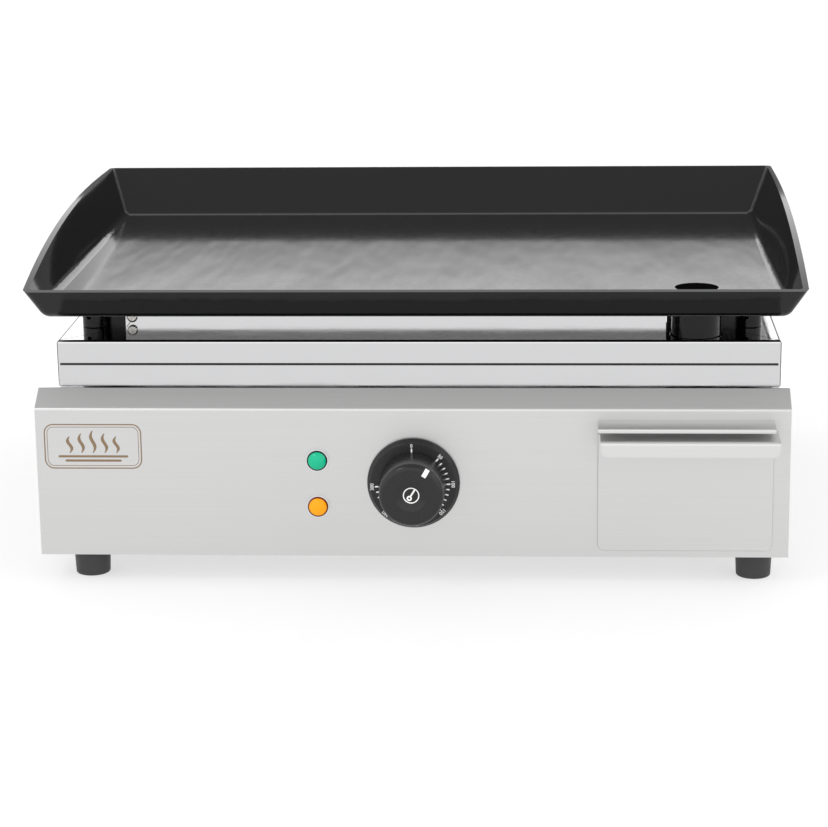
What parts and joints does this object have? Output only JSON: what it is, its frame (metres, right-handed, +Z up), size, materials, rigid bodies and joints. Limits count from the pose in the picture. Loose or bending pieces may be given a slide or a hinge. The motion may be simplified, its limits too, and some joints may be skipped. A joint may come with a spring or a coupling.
{
  "type": "flat top griddle",
  "caption": "Electric counter-top flat top griddle: black pan with flared arched rim on a steel case, thermostat dial, pilot lamps and drip drawer.",
  "frame": {"origin": "on the plane the feet stand on, below the middle of the whole object's box (halfway between the knob's front and the pan's rear rim)", "axes": "+X to the operator's right, +Y from the front panel towards the rear, +Z up"},
  "size_m": [0.5918, 0.5156, 0.2376],
  "materials": {
    "satin_steel": "fine satin brushed stainless steel",
    "polished_steel": "mirror polished stainless steel",
    "black_cast_iron": "satin black non-stick enamel on cast iron",
    "black_enamel": "gloss black heat-proof enamel",
    "zinc_steel": "zinc plated",
    "element_sheath": "heat-tinted steel sheath",
    "ceramic_fibre": "pressed white fibre",
    "rubber": "matt black rubber",
    "knob_black": "semi-gloss moulded",
    "bezel_black": "fine-grained, white printed scale",
    "switch_body": "moulded phenolic",
    "copper": "bright copper",
    "green_lens": "translucent green",
    "orange_lens": "translucent orange",
    "lamp_rim": "dark plated rim",
    "reset_red": "moulded red",
    "porcelain": "white glazed",
    "brass": "turned brass",
    "gland_nylon": "moulded nylon",
    "silicone_lead": "silicone insulated"
  },
  "bodies": {
    "root": {"front_panel": "satin_steel", "left_side_panel": "satin_steel", "right_side_panel": "satin_steel", "rear_panel": "satin_steel", "base_plate": "satin_steel", "drawer_hood": "satin_steel", "drawer_runners": "satin_steel", "top_deck": "polished_steel", "plinth_front": "polished_steel", "plinth_left": "polished_steel", "plinth_right": "polished_steel", "plinth_rear": "polished_steel", "heat_shield": "polished_steel", "griddle_pan": "black_cast_iron", "drain_tube": "black_enamel", "pan_legs": "black_enamel", "left_pan_bracket": "black_enamel", "right_pan_bracket": "black_enamel", "case_screws": "zinc_steel", "foot_washers": "zinc_steel", "foot_screws": "zinc_steel", "leg_studs": "zinc_steel", "element_clamps": "zinc_steel", "clamp_studs": "zinc_steel", "stud_nuts": "zinc_steel", "shield_screws": "zinc_steel", "thermostat_screws": "zinc_steel", "limiter_nut": "zinc_steel", "lamp_nuts": "zinc_steel", "front_heating_element": "element_sheath", "rear_heating_element": "element_sheath", "insulation_pad": "ceramic_fibre", "foot_front_left": "rubber", "foot_front_right": "rubber", "foot_rear_left": "rubber", "foot_rear_right": "rubber", "gland_seal": "rubber", "dial_bezel": "bezel_black", "thermostat_body": "switch_body", "limiter_body": "switch_body", "thermostat_bulb": "copper", "capillary_tube": "copper", "green_lamp_lens": "green_lens", "orange_lamp_lens": "orange_lens", "lamp_bodies": "lamp_rim", "terminal_block": "porcelain", "terminal_screws": "brass", "earth_stud": "brass", "earth_nuts": "brass", "cable_gland_body": "gland_nylon", "gland_lock_nut": "gland_nylon", "gland_dome_nut": "gland_nylon", "wiring": "silicone_lead"},
    "knob": {"thermostat_knob": "knob_black", "thermostat_shaft": "zinc_steel"},
    "drawer": {"drawer_tray": "satin_steel", "drawer_front": "satin_steel", "drawer_handle": "satin_steel"},
    "button": {"reset_button": "reset_red"}
  },
  "joints": [
    {"name": "thermostat_knob_turn", "type": "hinge", "parent": "root", "child": "knob", "pos_m": [0.002, -0.24175, 0.0783], "axis": [0, 1, 0], "range_deg": [-30, 240]},
    {"name": "drawer_slide", "type": "slide", "parent": "root", "child": "drawer", "axis": [0, -1, 0], "range_m": [0, 0.19]},
    {"name": "reset_press", "type": "slide", "parent": "root", "child": "button", "axis": [0, -1, 0], "range_m": [0, 0.002], "stiffness_N_per_m": 800}
  ]
}
